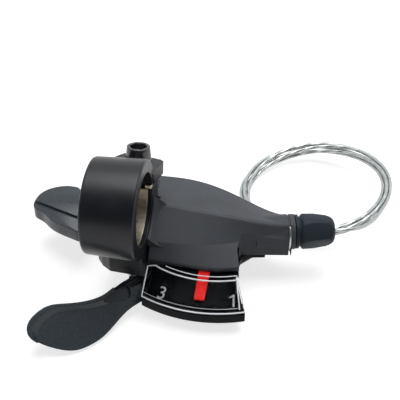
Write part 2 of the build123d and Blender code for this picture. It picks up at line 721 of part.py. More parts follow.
def make_release_tab():
    back = Spline(*release_back, tangents=((0, 1), (1, -0.1)))
    rest = Polyline(release_back[-1], (-18.8, 24.2), (-12.0, 24.6), (-5.6, 26.6), (-5.6, 22.4),
                    (-11.0, 17.0), release_front[0])
    front = Spline(*release_front, release_back[0], tangents=((-1, 0.4), (0, 1)))
    tab = extrude(Plane.XY.offset(release_bottom) * make_face(back + rest + front),
                  amount=release_top - release_bottom)
    tab = fillet(tab.faces().sort_by(Axis.Z)[-1].edges().sort_by(Axis.X)[:1], release_edge)
    step_start, step_end = (-34.3, 17.6), (-8.0, 8.0)
    along = (Vector(*step_end) - Vector(*step_start)).normalized()
    side = Plane(origin=(*step_start, release_top), x_dir=(along.Y, -along.X, 0), z_dir=along)
    drop = release_step
    cut = make_face(Polyline((0, 1), (0, -0.2), (-0.5, -drop), (0.3, -drop - 0.3), (0.9, -drop),
                             (9.0, -drop - 2.6), (9.0, 1), close=True))
    tab -= extrude(side * cut, amount=40)
    return tab - make_release_arm()


def make_release_arm():
    arm = prism([(-14.0, 20.4), (-3.0, 22.4), (release_x, release_y - 3.0), (11.6, 20.2), (14.2, 20.6),
                 (14.2, 22.8), (11.6, 22.8), (release_x, release_y + 3.0), (-3.0, 25.8), (-14.0, 23.4)],
                ratchet_bottom, ratchet_top)
    arm += rod(release_x, release_y, ratchet_bottom, ratchet_top, 3.6)
    return arm - rod(release_x, release_y, -40, 0, release_pin_radius + running_gap)


def make_release_pin():
    pin = rod(release_x, release_y, plate_bottom, ratchet_top + 0.2, release_pin_radius)
    return pin + rod(release_x, release_y, ratchet_top + 0.2, ratchet_top + 1.0, 2.6)


def make_hold_pin():
    pin = rod(hold_pivot_x, hold_pivot_y, plate_bottom, ratchet_top + 0.2, pawl_pin_radius)
    return pin + rod(hold_pivot_x, hold_pivot_y, ratchet_top + 0.2, ratchet_top + 0.8, 1.7)


def make_drive_pawl_pin():
    x, y = drive_pivot()
    return rod(x, y, arm_bottom, pawl_top + 0.1, pawl_pin_radius)


def neck_turned(profile):
    """Solid turned about the adjuster's axis from (distance, radius) points."""
    turn = math.radians(neck_yaw)
    along = (math.cos(turn), math.sin(turn), 0)
    plane = Plane(origin=(neck_end_x, neck_end_y, cable_height), x_dir=along,
                  z_dir=(math.sin(turn), -math.cos(turn), 0))
    return revolve(plane * make_face(Polyline(*profile, close=True)), Axis(plane.origin, along))


def make_adjuster_knob():
    end = knob_start + knob_length
    barrel = neck_turned([
        (knob_start, 0), (knob_start, knob_base - 0.9), (knob_start + 0.9, knob_base),
        (knob_start + 0.45 * knob_length, knob_base - 0.1), (end - 2.6, knob_tip + 0.75),
        (end - 1.2, knob_tip + 0.2), (end - 0.4, knob_tip - 0.4), (end, knob_tip - 1.2), (end, 0)])
    facets = []
    for distance, radius in ((knob_start, knob_base), (end, knob_tip)):
        corner = (radius - knob_flat) / math.cos(math.pi / 6)
        facets.append(neck_plane(distance) * Rot(Z=52) * RegularPolygon(corner, 6))
    knob = (barrel & loft(facets)) + neck_rod(0.3, knob_start, knob_base - 0.9)
    knob += neck_rod(0.3, 1.2, knob_base - 0.2) + neck_rod(-stem_length, 0.5, stem_radius)
    knob -= neck_rod(-stem_length - 1, 8.0, stop_radius)
    return knob - neck_rod(-9, 20, 0.9)


def make_cable_stop():
    stop = neck_rod(-4.5, 3.5, stop_radius)
    return stop - neck_rod(-9, 20, 0.8)


def cable_points():
    """Inner wire from the spool's tangent to the guide and out along the adjuster."""
    turn = math.radians(neck_yaw)
    guide = (neck_end_x - 7.2 * math.cos(turn), neck_end_y - 7.2 * math.sin(turn))
    dx, dy = guide[0] - axle_x, guide[1] - axle_y
    reach = math.hypot(dx, dy)
    bearing = math.degrees(math.atan2(dy, dx)) - math.degrees(math.acos(wrap_radius / reach))
    tangent = polar(axle_x, axle_y, wrap_radius, bearing)
    out = (neck_end_x + lead_start * math.cos(turn), neck_end_y + lead_start * math.sin(turn))
    return tangent, guide, out


def wire(points, label):
    """Round wire along straight runs joined by tangent arcs."""
    radii = []
    for i in range(1, len(points) - 1):
        before = Vector(*points[i]) - Vector(*points[i - 1])
        after = Vector(*points[i + 1]) - Vector(*points[i])
        turn = math.radians(before.get_angle(after))
        radii.append(min(60.0, 0.45 * min(before.length, after.length) / math.tan(turn / 2)))
    path = FilletPolyline(*points, radius=radii)
    solid = sweep(Plane(origin=path @ 0, z_dir=path % 0) * Circle(cable_radius), path=path)
    section = math.pi * cable_radius ** 2 * path.length
    print(f"{label} radii {[round(r, 1) for r in radii]}, length {path.length:.1f}, "
          f"volume {solid.volume:.1f} of {section:.1f}")
    return solid


def make_cable_run():
    return wire([(x, y, cable_height) for x, y in cable_points()], "cable run")


def lead_points():
    start = cable_points()[2]
    across, back = polar(0, 0, coil_radius + 0.9, -16.0)
    tilt = math.radians(coil_tilt)
    end = (coil_x + across * math.cos(tilt), coil_y + back, coil_middle() + across * math.sin(tilt))
    turn = math.radians(neck_yaw)
    bend = (start[0] + 4.4 * math.cos(turn), start[1] + 4.4 * math.sin(turn))
    return [(start[0], start[1], cable_height), (bend[0], bend[1], cable_height), (72.0, 23.0, -17.0),
            (75.8, 29.5, -19.0), (78.4, 37.4, -21.0), end]


def coil_middle():
    """Height of the coil's middle; its left side lies on the floor and the lead holds up its right side."""
    return floor_height + coil_height / 2 + coil_radius * math.sin(math.radians(coil_tilt))


def make_cable_coil():
    section = make_face(Polyline(*[
        (coil_radius + 0.5 * coil_width * math.cos(math.radians(45 * i)),
         0.5 * coil_height * math.sin(math.radians(45 * i))) for i in range(8)], close=True))
    ring = revolve(Plane.XZ * section, Axis.Z)
    return Pos(coil_x, coil_y, coil_middle()) * Rot(Y=-coil_tilt) * ring


def ring_spring(x, y, bottom, radius, thickness, turns):
    """Torsion spring of flat turns, each stepped up to the next."""
    half = thickness / 2
    spring = None
    for i in range(turns):
        low = bottom + i * 1.2 * thickness
        turn = prism([polar(x, y, radius + half, 24 * k) for k in range(15)], low, low + thickness)
        turn -= prism([polar(x, y, radius - half, 24 * k) for k in range(15)], low - 1, low + thickness + 1)
        turn -= block(x, x + radius + 1, y + i * thickness, y + (i + 1) * thickness,
                      low - 1, low + thickness + 1)
        spring = turn if spring is None else spring + turn
        if i:
            spring += block(x + radius - half, x + radius + half, y + (i - 0.9) * thickness,
                            y + i * thickness, low - 0.4 * thickness, low + 0.6 * thickness)
    return spring


def make_drive_pawl_spring():
    return prism([(10.2, 3.2), (19.6, 4.1), (19.6, 4.4), (10.2, 3.5)], pawl_bottom, pawl_top - 0.2)


if __name__ == "__main__":
    save("clamp_band", make_clamp_band())
    save("clamp_liner", make_liner())
    save("clamp_bolt", make_clamp_bolt())
    save("clamp_nut", make_clamp_nut())
    save("top_cover", make_top_cover())
    save("adjuster_clip", make_adjuster_clip())
    save("base_housing", make_base_housing())
    save("base_plate", make_base_plate())
    save("foot_screws", make_foot_screws())
    save("bottom_cover", make_bottom_cover())
    save("bottom_screws", make_bottom_screws())
    save("cover_screw", make_cover_screw())
    save("dial_plate", make_dial_plate())
    save("window_lens", make_window_lens())
    save("pointer", make_pointer())
    save("pointer_post", make_pointer_post())
    save("main_axle", make_main_axle())
    save("axle_clip_upper", retaining_clip(-15.28, -14.92, 4.6))
    save("axle_clip_lower", retaining_clip(-25.18, -24.82, 4.8))
    save("spool", make_spool())
    save("drive_pin", make_drive_pin())
    save("cable_nipple", make_cable_nipple())
    save("cable_wrap", make_cable_wrap())
    save("hold_pawl", make_hold_pawl())
    save("hold_pawl_pin", make_hold_pin())
    save("drive_pawl", make_drive_pawl())
    save("drive_pawl_pin", make_drive_pawl_pin())
    save("index_ratchet", make_index_ratchet())
    save("spool_spacer", make_spool_spacer())
    save("spool_spring", spiral_spring())
    save("thumb_arm", make_thumb_arm())
    save("thumb_paddle", make_thumb_paddle())
    save("release_arm", make_release_arm())
    save("release_tab", make_release_tab())
    save("release_pin", make_release_pin())
    save("adjuster_knob", make_adjuster_knob())
    save("cable_stop", make_cable_stop())
    save("cable_run", make_cable_run())
    save("cable_lead", wire(lead_points(), "cable lead"))
    save("cable_coil", make_cable_coil())
    save("thumb_spring", ring_spring(axle_x, axle_y, arm_top + 0.25, 5.0, 0.8, 2))
    save("release_spring", ring_spring(release_x, release_y, plate_top, 2.5, 0.45, 2))
    save("hold_pawl_spring", ring_spring(hold_pivot_x, hold_pivot_y, plate_top, 1.6, 0.45, 2))
    save("drive_pawl_spring", make_drive_pawl_spring())
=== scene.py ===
import math

import bpy
from mathutils import Matrix, Vector


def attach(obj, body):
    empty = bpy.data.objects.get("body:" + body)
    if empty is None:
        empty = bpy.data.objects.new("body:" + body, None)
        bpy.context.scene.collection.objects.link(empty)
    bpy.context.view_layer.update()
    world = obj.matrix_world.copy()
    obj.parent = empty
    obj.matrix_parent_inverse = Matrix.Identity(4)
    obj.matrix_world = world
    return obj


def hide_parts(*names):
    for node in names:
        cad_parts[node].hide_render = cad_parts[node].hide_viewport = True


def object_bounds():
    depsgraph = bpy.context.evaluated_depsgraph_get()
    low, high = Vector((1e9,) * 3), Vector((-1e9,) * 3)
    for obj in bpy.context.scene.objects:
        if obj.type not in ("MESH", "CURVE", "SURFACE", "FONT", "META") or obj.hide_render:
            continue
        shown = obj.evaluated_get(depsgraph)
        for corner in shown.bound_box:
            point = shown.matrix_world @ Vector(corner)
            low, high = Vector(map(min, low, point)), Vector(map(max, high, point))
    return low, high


bl_info = {
    "name": "Trigger Gear Shifter",
    "version": (1, 0, 0),
    "blender": (4, 5, 0),
    "location": "View3D > Sidebar > Shifter",
    "description": "Dresses the trigger gear shifter and sets its studio",
    "category": "Object",
}

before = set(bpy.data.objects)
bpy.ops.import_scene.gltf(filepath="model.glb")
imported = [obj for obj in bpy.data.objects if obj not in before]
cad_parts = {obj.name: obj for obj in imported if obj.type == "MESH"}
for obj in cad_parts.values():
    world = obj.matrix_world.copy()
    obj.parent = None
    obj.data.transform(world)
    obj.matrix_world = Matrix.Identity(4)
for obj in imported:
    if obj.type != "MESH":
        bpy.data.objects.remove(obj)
cad_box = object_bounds()

# Lengths are in metres and angles in degrees, here and in the functions' arguments.

# Vertices nearer than a weld are made one, in a copied node and in a new piece.
NODE_WELD = 0.000004
PIECE_WELD = 0.000001
# Faces that turn by less than this are made one before their edges are rounded.
FLAT_ANGLE = 0.3
# Edges that turn by more than these are rounded, and shaded as hard.
ROUNDED_ANGLE = 28.0
HARD_ANGLE = 40.0

# Most of a noise lies between these two values.
NOISE_LOW = 0.3
NOISE_HIGH = 0.7

# Inner wire from the adjuster's tip down to the coil.
LEAD = [
    (0.063716, 0.019253, -0.01605),
    (0.068020, 0.020168, -0.01605),
    (0.072000, 0.023000, -0.01700),
    (0.075800, 0.029500, -0.01900),
    (0.078400, 0.037400, -0.02100),
]

# The coil's left side lies on the floor, and the lead holds up its right side.
COIL_CENTRE = (0.0562, 0.0526, -0.02595)
COIL_TILT = 9.0
# Where round the coil the wire comes in, and where its turns lie loosest.
COIL_START = -16.0
COIL_LOOSE = 100.0
# The curve has a point at each step, and runs at this share of its points' radius.
COIL_STEP = 15.0
COIL_INSIDE = 0.9915
# The wire's strands, and how far they turn, in radians, along its UV map.
STRANDS = 7.0
STRAND_LAY = 900.0

# The top cover's left end: how far right it reaches, and the moves along the bar of what lies
# behind a place.
COVER_LEFT = 0.0084
COVER_SHIFTS = ((0.030, -0.0030), (0.016, -0.0002))

# The saddle beside the clamp ring: its section as places along and out from the bar,
# its two ends round the bar, and the steps by which it fades, each with its share of the section.
COLLAR = [(0.00803, 0.0122), (0.0085, 0.0122), (0.0088, 0.0124), (0.0093, 0.0130),
          (0.0101, 0.0138), (0.0112, 0.0145), (0.0126, 0.0150), (0.00803, 0.0152)]
COLLAR_START = -84.0
COLLAR_END = -33.0
COLLAR_FADE = ((0.0012, 0.75), (0.0012, 0.55), (0.0010, 0.25))

# Screws with a cross recess: the height of their heads and the places of their axes.
SCREW_HEADS = {
    "foot_screws": (-0.0223, ((-0.0026, 0.0060), (0.0044, -0.0026))),
    "bottom_screws": (-0.0270, ((0.0315, 0.0254), (0.0316, 0.0034))),
    "cover_screw": (-0.0270, ((0.0394, 0.0196),)),
}
# The two bars that cut a recess; half of their height lies in the head.
CROSS_BARS = ((0.0028, 0.0007, 0.0011), (0.0007, 0.0028, 0.0011))

# The liner's turned-out end.
LIP_PLACE = (0.0069, 0.0114, 0.0002)
LIP_SIZE = (0.0020, 0.0016, 0.0014)
LIP_ROUNDING = 0.00025

# The window's top face is a cone about the pointer's pivot, with this height and radius
# at its inner edge and this fall outward.
DIAL_PIVOT = (0.026, 0.024)
WINDOW_TOP = -0.019
WINDOW_INNER = 0.0284
WINDOW_SLOPE = 4.3 / 11.0

# Painted highlights on the window's polished edges, as pale beads round it: radius, drop below the
# top face, two ends and thickness.
ROUND_HIGHLIGHTS = (
    (0.02850, 0.00012, 245.6, 290.2, 0.00030),
    (0.02990, 0.00002, 240.6, 290.0, 0.00048),
    (0.03930, 0.00040, 243.7, 290.2, 0.00046),
    (0.03820, 0.00006, 242.8, 288.6, 0.00012),
)
# Painted highlights on the polished edges at its left end: two places and thickness.
LEFT_HIGHLIGHTS = (
    ((0.00860, -0.00180, -0.02007), (0.01130, -0.00180, -0.01950), 0.00034),
    ((0.00860, -0.00190, -0.02010), (0.00860, -0.01120, -0.02360), 0.00034),
)
# Painted highlights on the polished edges at its right end: radius, angle and drop of two places,
# and thickness.
RIGHT_HIGHLIGHTS = (
    ((0.0290, 289.8, 0.0003), (0.0386, 288.2, 0.0001), 0.00040),
    ((0.0285, 290.3, 0.0002), (0.0393, 290.3, 0.0004), 0.00030),
)

# Planes that cut the pointer's right side and its tip, each a place and the way that is cut off.
POINTER_CUTS = (
    ((0.0286, 0.0220, 0.0), (0.99916, -0.0409, 0.0)),
    ((0.0, -0.0105, 0.0), (0.0, -1.0, 0.0)),
)
POINTER_ROUNDING = 0.00012

# Gear numbers: radius and angle round the pointer's pivot, and tilt on the dial.
GEAR_NUMBERS = {
    "3": (0.0348, 250.2, 10.0),
    "2": (0.0318, 269.2, -2.0),
    "1": (0.0343, 286.6, -8.0),
}
# Their drop below the window's top face, and half of their height.
PRINT_DROP = 0.0026
PRINT_HEIGHT = 0.00003
# The slanted stroke of the figure one, about the middle of the figure.
FLAG_PLACE = (-0.00064, 0.00150, 0.0)
FLAG_SIZE = (0.00130, 0.00048, 0.00006)
FLAG_SLANT = -32.0

# The floor lies a small gap under the lowest point of the coil and the thumb paddle.
FLOOR_GAP = 0.00005
FLOOR = cad_box[0][2] - FLOOR_GAP
FLOOR_SIZE = 3.0
FLOOR_COLOUR = (0.55, 0.55, 0.55)
FLOOR_GLOW = 0.72

# The surroundings' colour, and where they pass from the dim front to the bright back,
# from minus one straight in front to one straight behind.
SURROUND_COLOUR = (0.97, 0.985, 1.0)
SURROUND_FRONT = -0.7
SURROUND_BACK = 0.3

# Lights and camera.
LIGHT_TARGET = (0.03, 0.015, -0.01)
KEY_PLACE = (0.04, 0.12, 0.62)
KEY_SIZE = 0.60
FILL_PLACE = (-0.55, -0.15, 0.35)
FILL_SIZE = 0.35
CAMERA_PLACE = (0.05520, -0.18861, 0.15801)
CAMERA_RISE = 38.5
CAMERA_TURN = 9.3


class ShifterFinish(bpy.types.PropertyGroup):
    """Colours of the shifter's finishes"""
    housing: bpy.props.FloatVectorProperty(
        name="Housing", description="Colour of the moulded covers", subtype="COLOR",
        size=3, min=0.0, max=1.0, default=(0.060, 0.065, 0.074))
    tray: bpy.props.FloatVectorProperty(
        name="Tray", description="Colour of the housing's base under the covers", subtype="COLOR",
        size=3, min=0.0, max=1.0, default=(0.008, 0.009, 0.011))
    lever: bpy.props.FloatVectorProperty(
        name="Levers", description="Colour of the thumb paddle and release tab", subtype="COLOR",
        size=3, min=0.0, max=1.0, default=(0.024, 0.033, 0.042))
    arm: bpy.props.FloatVectorProperty(
        name="Thumb arm", description="Colour of the painted arm that holds the thumb paddle",
        subtype="COLOR", size=3, min=0.0, max=1.0, default=(0.012, 0.012, 0.014))
    clamp: bpy.props.FloatVectorProperty(
        name="Clamp", description="Colour of the painted clamp band", subtype="COLOR",
        size=3, min=0.0, max=1.0, default=(0.008, 0.009, 0.012))
    bolt: bpy.props.FloatVectorProperty(
        name="Bolt", description="Colour of the blackened clamp bolt", subtype="COLOR",
        size=3, min=0.0, max=1.0, default=(0.012, 0.012, 0.015))
    adjuster: bpy.props.FloatVectorProperty(
        name="Adjuster", description="Colour of the barrel adjuster", subtype="COLOR",
        size=3, min=0.0, max=1.0, default=(0.023, 0.030, 0.039))
    dial: bpy.props.FloatVectorProperty(
        name="Dial", description="Colour of the dial behind the window", subtype="COLOR",
        size=3, min=0.0, max=1.0, default=(0.004, 0.005, 0.006))
    numeral: bpy.props.FloatVectorProperty(
        name="Numerals", description="Colour of the gear numbers", subtype="COLOR",
        size=3, min=0.0, max=1.0, default=(0.42, 0.42, 0.43))
    pointer: bpy.props.FloatVectorProperty(
        name="Pointer", description="Colour of the gear pointer", subtype="COLOR",
        size=3, min=0.0, max=1.0, default=(0.97, 0.024, 0.022))
    window: bpy.props.FloatVectorProperty(
        name="Window", description="Tint of the clear window", subtype="COLOR",
        size=3, min=0.0, max=1.0, default=(0.93, 0.94, 0.95))
    # Pale colour of the beads painted as highlights on the window's polished edges.
    window_highlight: bpy.props.FloatVectorProperty(
        name="Window edges", description="Colour of the window's polished edges", subtype="COLOR",
        size=3, min=0.0, max=1.0, default=(0.80, 0.83, 0.85))
    liner: bpy.props.FloatVectorProperty(
        name="Liner", description="Colour of the plated liner in the clamp", subtype="COLOR",
        size=3, min=0.0, max=1.0, default=(0.60, 0.53, 0.42))
    steel: bpy.props.FloatVectorProperty(
        name="Steel", description="Colour of plated steel", subtype="COLOR",
        size=3, min=0.0, max=1.0, default=(0.55, 0.55, 0.56))
    spring: bpy.props.FloatVectorProperty(
        name="Springs", description="Colour of the springs and clips", subtype="COLOR",
        size=3, min=0.0, max=1.0, default=(0.36, 0.36, 0.37))
    spool: bpy.props.FloatVectorProperty(
        name="Spool", description="Colour of the moulded cable spool", subtype="COLOR",
        size=3, min=0.0, max=1.0, default=(0.70, 0.70, 0.66))
    wire: bpy.props.FloatVectorProperty(
        name="Wire", description="Colour of the galvanised inner wire", subtype="COLOR",
        size=3, min=0.0, max=1.0, default=(0.47, 0.49, 0.485))


class ShifterTrim(bpy.types.PropertyGroup):
    """Sizes of the rounded edges and the gear numbers"""
    bolt_rounding: bpy.props.FloatProperty(
        name="Bolt rounding", description="Width of the rounded edges on the clamp bolt",
        unit="LENGTH", min=0.0001, max=0.0005, default=0.00035, precision=5)
    tab_rounding: bpy.props.FloatProperty(
        name="Tab rounding", description="Width of the rounded edges on the release tab",
        unit="LENGTH", min=0.0001, max=0.0005, default=0.0004, precision=5)
    knob_rounding: bpy.props.FloatProperty(
        name="Knob rounding", description="Width of the rounded edges on the adjuster",
        unit="LENGTH", min=0.0001, max=0.0005, default=0.0003, precision=5)
    numeral_size: bpy.props.FloatProperty(
        name="Numeral size", description="Size of the gear numbers' type",
        unit="LENGTH", min=0.003, max=0.007, default=0.0058, precision=4)


class ShifterWire(bpy.types.PropertyGroup):
    """Sizes of the inner wire and its coil"""
    diameter: bpy.props.FloatProperty(
        name="Diameter", description="Diameter of the inner wire", unit="LENGTH",
        min=0.0008, max=0.002, default=0.0012, precision=4)
    radius: bpy.props.FloatProperty(
        name="Coil radius", description="Radius of the loose coil at the middle of its turns",
        unit="LENGTH", min=0.015, max=0.03, default=0.0246, precision=4)
    bundle: bpy.props.FloatProperty(
        name="Bundle", description="Distance of a turn from the middle of the bundle",
        unit="LENGTH", min=0.00102, max=0.0016, default=0.00105, precision=5)
    looseness: bpy.props.FloatProperty(
        name="Looseness", description="Share by which the bundle opens where nothing holds it",
        min=0.0, max=1.0, default=0.5)
    twist: bpy.props.FloatProperty(
        name="Twist", description="Turns of the bundle about itself in one round of the coil",
        min=0.2, max=2.2, default=1.2)
    turns: bpy.props.FloatProperty(
        name="Turns", description="Number of turns in the coil", min=4.0, max=5.6, default=5.17)


class ShifterStage(bpy.types.PropertyGroup):
    """Camera, lights and surroundings"""
    lens: bpy.props.FloatProperty(
        name="Lens", description="Focal length of the camera", unit="CAMERA",
        min=20.0, max=200.0, default=77.6)
    key_power: bpy.props.FloatProperty(
        name="Key", description="Power of the large light overhead", unit="POWER",
        min=0.0, max=50.0, default=3.8)
    fill_power: bpy.props.FloatProperty(
        name="Fill", description="Power of the light on the left", unit="POWER",
        min=0.0, max=50.0, default=0.2)
    ambient: bpy.props.FloatProperty(
        name="Ambient", description="Strength of the white surroundings on diffuse surfaces",
        min=0.0, max=2.0, default=0.2)
    room: bpy.props.FloatProperty(
        name="Room", description="Brightness of the room in front, as reflections show it",
        min=0.0, max=1.0, default=0.12)


def new_finish(name):
    """A new material, with its nodes, links, Principled shader and texture coordinates."""
    material = bpy.data.materials.new(name)
    material.use_nodes = True
    nodes = material.node_tree.nodes
    places = nodes.new("ShaderNodeTexCoord").outputs
    return material, nodes, material.node_tree.links, nodes["Principled BSDF"], places


def speckle(nodes, links, place, scale, detail):
    """A noise with about this many cells to the metre."""
    noise = nodes.new("ShaderNodeTexNoise")
    noise.inputs["Scale"].default_value = scale
    noise.inputs["Detail"].default_value = detail
    links.new(place, noise.inputs["Vector"])
    return noise.outputs["Fac"]


def spread(nodes, links, noise, low, high):
    """Takes a noise's middle range to values between low and high."""
    reach = nodes.new("ShaderNodeMapRange")
    reach.inputs["From Min"].default_value = NOISE_LOW
    reach.inputs["From Max"].default_value = NOISE_HIGH
    reach.inputs["To Min"].default_value = low
    reach.inputs["To Max"].default_value = high
    links.new(noise, reach.inputs["Value"])
    return reach.outputs["Result"]


def mottle(nodes, links, noise, colour, share):
    """A colour that a noise makes darker and paler by a share."""
    mix = nodes.new("ShaderNodeMix")
    mix.data_type = "RGBA"
    dark = tuple(c * (1.0 - share) for c in colour)
    pale = tuple(min(1.0, c * (1.0 + share)) for c in colour)
    mix.inputs["A"].default_value = (*dark, 1.0)
    mix.inputs["B"].default_value = (*pale, 1.0)
    links.new(spread(nodes, links, noise, 0.0, 1.0), mix.inputs["Factor"])
    return mix.outputs["Result"]


def worked_out(nodes, links, operation, *terms):
    """The value of a Math node whose terms are sockets or plain numbers."""
    node = nodes.new("ShaderNodeMath")
    node.operation = operation
    for socket, term in zip(node.inputs, terms):
        if isinstance(term, float):
            socket.default_value = term
        else:
            links.new(term, socket)
    return node.outputs["Value"]


def raise_surface(nodes, links, shader, height, strength, depth, edge=None):
    """Shades a surface as raised by a height, and as rounded at its edges where asked."""
    bump = nodes.new("ShaderNodeBump")
    bump.inputs["Strength"].default_value = strength
    bump.inputs["Distance"].default_value = depth
    links.new(height, bump.inputs["Height"])
    if edge:
        bevel = nodes.new("ShaderNodeBevel")
        bevel.samples = 6
        bevel.inputs["Radius"].default_value = edge
        links.new(bevel.outputs["Normal"], bump.inputs["Normal"])
    links.new(bump.outputs["Normal"], shader.inputs["Normal"])


def moulded_plastic(name, colour, roughness, specular, grain=2600.0, edge=0.0004, depth=0.00004):
    """Satin moulded plastic: faint clouding, a spark grain of a depth, and softened edges."""
    material, nodes, links, shader, places = new_finish(name)
    cloud = speckle(nodes, links, places["Object"], scale=90.0, detail=4.0)
    spark = speckle(nodes, links, places["Object"], scale=grain, detail=3.0)
    links.new(mottle(nodes, links, cloud, colour, share=0.14), shader.inputs["Base Color"])
    polish = spread(nodes, links, spark, low=roughness - 0.06, high=roughness + 0.08)
    links.new(polish, shader.inputs["Roughness"])
    shader.inputs["Specular IOR Level"].default_value = specular
    raise_surface(nodes, links, shader, spark, strength=0.35, depth=depth, edge=edge)
    return material


def painted_metal(name, colour, roughness, specular):
    """Powder-coated metal with a slight orange-peel surface."""
    material, nodes, links, shader, places = new_finish(name)
    cloud = speckle(nodes, links, places["Object"], scale=140.0, detail=3.0)
    peel = speckle(nodes, links, places["Object"], scale=1500.0, detail=2.0)
    links.new(mottle(nodes, links, cloud, colour, share=0.12), shader.inputs["Base Color"])
    polish = spread(nodes, links, cloud, low=roughness - 0.04, high=roughness + 0.06)
    links.new(polish, shader.inputs["Roughness"])
    shader.inputs["Specular IOR Level"].default_value = specular
    raise_surface(nodes, links, shader, peel, strength=0.22, depth=0.00005, edge=0.0004)
    return material


def plated_steel(name, colour, roughness):
    """Plated metal with fine lines drawn out along the bar's axis."""
    material, nodes, links, shader, places = new_finish(name)
    stretch = nodes.new("ShaderNodeMapping")
    stretch.inputs["Scale"].default_value = (1.0, 9.0, 9.0)
    links.new(places["Object"], stretch.inputs["Vector"])
    lines = speckle(nodes, links, stretch.outputs["Vector"], scale=420.0, detail=3.0)
    links.new(mottle(nodes, links, lines, colour, share=0.12), shader.inputs["Base Color"])
    polish = spread(nodes, links, lines, low=roughness - 0.07, high=roughness + 0.1)
    links.new(polish, shader.inputs["Roughness"])
    shader.inputs["Metallic"].default_value = 1.0
    raise_surface(nodes, links, shader, lines, strength=0.1, depth=0.00003, edge=0.0002)
    return material


def stranded_wire(name, colour):
    """Galvanised wire with strands laid round it, drawn along the wire's own UV map."""
    material, nodes, links, shader, places = new_finish(name)
    dull = speckle(nodes, links, places["Object"], scale=500.0, detail=3.0)
    links.new(mottle(nodes, links, dull, colour, share=0.1), shader.inputs["Base Color"])
    links.new(spread(nodes, links, dull, low=0.26, high=0.42), shader.inputs["Roughness"])
    shader.inputs["Metallic"].default_value = 1.0
    split = nodes.new("ShaderNodeSeparateXYZ")
    links.new(places["UV"], split.inputs["Vector"])
    along = worked_out(nodes, links, "MULTIPLY", split.outputs["X"], STRAND_LAY)
    around = worked_out(nodes, links, "MULTIPLY", split.outputs["Y"], STRANDS * 2.0 * math.pi)
    wave = worked_out(nodes, links, "SINE", worked_out(nodes, links, "ADD", along, around))
    raise_surface(nodes, links, shader, wave, strength=0.3, depth=0.00008)
    return material


def clear_plastic(name, colour):
    """Clear window, faintly smoked toward its moulded flow lines."""
    material, nodes, links, shader, places = new_finish(name)
    flow = speckle(nodes, links, places["Object"], scale=60.0, detail=2.0)
    links.new(mottle(nodes, links, flow, colour, share=0.03), shader.inputs["Base Color"])
    links.new(spread(nodes, links, flow, low=0.02, high=0.06), shader.inputs["Roughness"])
    shader.inputs["Transmission Weight"].default_value = 1.0
    shader.inputs["IOR"].default_value = 1.05
    return material


def painted_edge_highlight(name, colour):
    """A pale, bright finish for beads painted as highlights on clear plastic's polished edges,
    with a little haze.
    """
    material, nodes, links, shader, places = new_finish(name)
    haze = speckle(nodes, links, places["Object"], scale=700.0, detail=2.0)
    links.new(mottle(nodes, links, haze, colour, share=0.1), shader.inputs["Base Color"])
    links.new(spread(nodes, links, haze, low=0.10, high=0.25), shader.inputs["Roughness"])
    return material


def dress(material, *names):
    """Gives CAD nodes a material."""
    for name in names:
        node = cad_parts[name]
        node.data.materials.clear()
        node.data.materials.append(material)


def finish_piece(piece, body, material):
    """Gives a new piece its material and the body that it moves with."""
    piece.data.materials.clear()
    piece.data.materials.append(material)
    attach(piece, body)


def clear_selection():
    """Leaves edit mode and deselects everything."""
    if bpy.context.object and bpy.context.object.mode != "OBJECT":
        bpy.ops.object.mode_set(mode="OBJECT")
    bpy.ops.object.select_all(action="DESELECT")


def copied_node(context, node, name):
    """A copy of a CAD node under a new name, selected and active."""
    clear_selection()
    piece = bpy.data.objects.new(name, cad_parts[node].data.copy())
    context.scene.collection.objects.link(piece)
    context.view_layer.objects.active = piece
    piece.select_set(True)
    return piece


def weld_copy():
    """Welds the active copy of a node and leaves it selected all over in edit mode."""
    bpy.ops.mesh.customdata_custom_splitnormals_clear()
    bpy.ops.object.mode_set(mode="EDIT")
    bpy.ops.mesh.select_all(action="SELECT")
    bpy.ops.mesh.remove_doubles(threshold=NODE_WELD)


def shade():
    """Shades the active piece smooth, apart from its hard edges."""
    bpy.ops.object.shade_smooth_by_angle(angle=math.radians(HARD_ANGLE))


def close_piece(context):
    """Welds the new piece that is in edit mode, turns its faces outward and shades it."""
    bpy.ops.mesh.select_all(action="SELECT")
    bpy.ops.mesh.remove_doubles(threshold=PIECE_WELD)
    bpy.ops.mesh.normals_make_consistent(inside=False)
    bpy.ops.object.mode_set(mode="OBJECT")
    shade()
    return context.object


def round_edges(piece, width, angle):
    """Rounds the active piece's edges that turn by more than an angle, and shades it."""
    bevel = piece.modifiers.new("rounded_edges", "BEVEL")
    bevel.width = width
    bevel.segments = 2
    bevel.limit_method = "ANGLE"
    bevel.angle_limit = math.radians(angle)
    bpy.ops.object.modifier_apply(modifier=bevel.name)
    shade()


def soften(context, name, width):
    """Copies a CAD node and rounds its edges; the copy stands for the node."""
    piece = copied_node(context, name, name + "_rounded")
    weld_copy()
    bpy.ops.mesh.dissolve_limited(angle_limit=math.radians(FLAT_ANGLE))
    bpy.ops.object.mode_set(mode="OBJECT")
    round_edges(piece, width, ROUNDED_ANGLE)
    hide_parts(name)
    return piece


def wide_cover(context):
    """The top cover with its left end drawn out behind the clamp's ear, so that no gap shows."""
    piece = copied_node(context, "top_cover", "top_cover_wide")
    for back, shift in COVER_SHIFTS:
        bpy.ops.object.mode_set(mode="EDIT")
        bpy.ops.mesh.select_mode(type="VERT")
        bpy.ops.mesh.select_all(action="DESELECT")
        bpy.ops.object.mode_set(mode="OBJECT")
        for vertex in piece.data.vertices:
            vertex.select = vertex.co.x < COVER_LEFT and vertex.co.y > back
        bpy.ops.object.mode_set(mode="EDIT")
        bpy.ops.transform.translate(value=(shift, 0.0, 0.0))
    bpy.ops.object.mode_set(mode="OBJECT")
    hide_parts("top_cover")
    return piece


def round_the_bar(along, radius, angle):
    """A place round the handlebar's axis."""
    turn = math.radians(angle)
    return Vector((along, radius * math.cos(turn), radius * math.sin(turn)))


